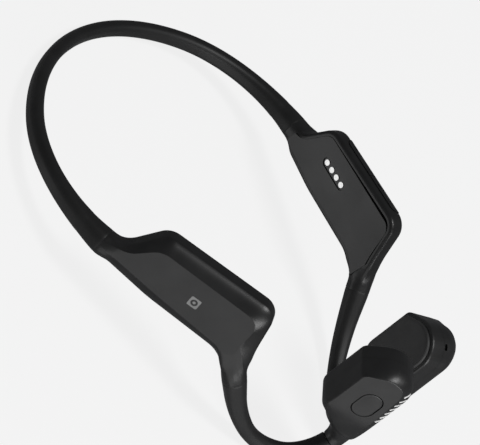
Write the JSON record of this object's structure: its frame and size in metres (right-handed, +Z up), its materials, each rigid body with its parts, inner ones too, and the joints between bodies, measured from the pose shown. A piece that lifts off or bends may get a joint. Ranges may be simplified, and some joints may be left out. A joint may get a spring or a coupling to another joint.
{
  "type": "bone conduction headphones",
  "caption": "Open-ear bone conduction headphones: a springy neckband joins two flat cases, whose ear hooks carry transducer pods that press on the cheekbones.",
  "frame": {"origin": "under the middle of the headphones' box, on the surface that they lie on upside down", "axes": "+X to the wearer's right, -Y to the wearer's front, +Z up as the part lies, which is down when it is worn"},
  "size_m": [0.112, 0.1288, 0.0461],
  "materials": {
    "case_plastic": "satin black moulded plastic with a soft-touch grain",
    "pod_plastic": "satin black moulded plastic",
    "key_plastic": "fine matte black",
    "port_plastic": "semi-gloss black",
    "silicone_skin": "matte black silicone",
    "soft_pad_silicone": "soft matte black silicone",
    "contact_metal": "bright plated, slightly domed",
    "spring_steel": "drawn spring wire and stamped spring",
    "lead_jacket": "thin insulated lead",
    "magnet_steel": "nickel plated",
    "copper": "lacquered copper",
    "circuit_board": "solder-masked laminate",
    "battery_foil": "foil pouch",
    "component_metal": "stamped can"
  },
  "bodies": {
    "headset": {"battery_cell": "battery_foil", "button_board": "circuit_board", "button_switch": "component_metal", "charging_contacts": "contact_metal", "charging_magnets": "magnet_steel", "charging_port_bezel": "port_plastic", "left_case_cover": "case_plastic", "left_case_seal": "soft_pad_silicone", "left_case_shell": "case_plastic", "left_contact_pad": "soft_pad_silicone", "left_ear_hook_sleeve": "silicone_skin", "left_ear_hook_wire": "spring_steel", "left_pod_base": "pod_plastic", "left_pod_shell": "pod_plastic", "left_transducer_lead": "lead_jacket", "left_transducer_magnet": "magnet_steel", "left_transducer_plate": "magnet_steel", "left_transducer_suspension": "spring_steel", "left_transducer_yoke": "magnet_steel", "left_voice_coil": "copper", "main_board": "circuit_board", "microphone": "component_metal", "neckband_lead": "lead_jacket", "neckband_sleeve": "silicone_skin", "neckband_spring_wire": "spring_steel", "pairing_antenna": "copper", "radio_antenna": "copper", "right_case_cover": "case_plastic", "right_case_seal": "soft_pad_silicone", "right_case_shell": "case_plastic", "right_contact_pad": "soft_pad_silicone", "right_ear_hook_sleeve": "silicone_skin", "right_ear_hook_wire": "spring_steel", "right_pod_base": "pod_plastic", "right_pod_shell": "pod_plastic", "right_transducer_lead": "lead_jacket", "right_transducer_magnet": "magnet_steel", "right_transducer_plate": "magnet_steel", "right_transducer_suspension": "spring_steel", "right_transducer_yoke": "magnet_steel", "right_voice_coil": "copper", "side_switch_board": "circuit_board", "side_switch_domes": "spring_steel"},
    "volume_up_key": {"volume_up_button": "key_plastic"},
    "volume_down_key": {"volume_down_button": "key_plastic"},
    "multifunction_key": {"multifunction_button": "key_plastic"}
  },
  "joints": [
    {"name": "volume_up_press", "type": "slide", "parent": "headset", "child": "volume_up_key", "axis": [0.0211, -0.253, -0.9672], "range_m": [0, 0.0004], "stiffness_N_per_m": 2500},
    {"name": "volume_down_press", "type": "slide", "parent": "headset", "child": "volume_down_key", "axis": [0.0211, -0.253, -0.9672], "range_m": [0, 0.0004], "stiffness_N_per_m": 2500},
    {"name": "multifunction_press", "type": "slide", "parent": "headset", "child": "multifunction_key", "axis": [0.8322, 0.5502, -0.0682], "range_m": [0, 0.0004], "stiffness_N_per_m": 2500}
  ]
}
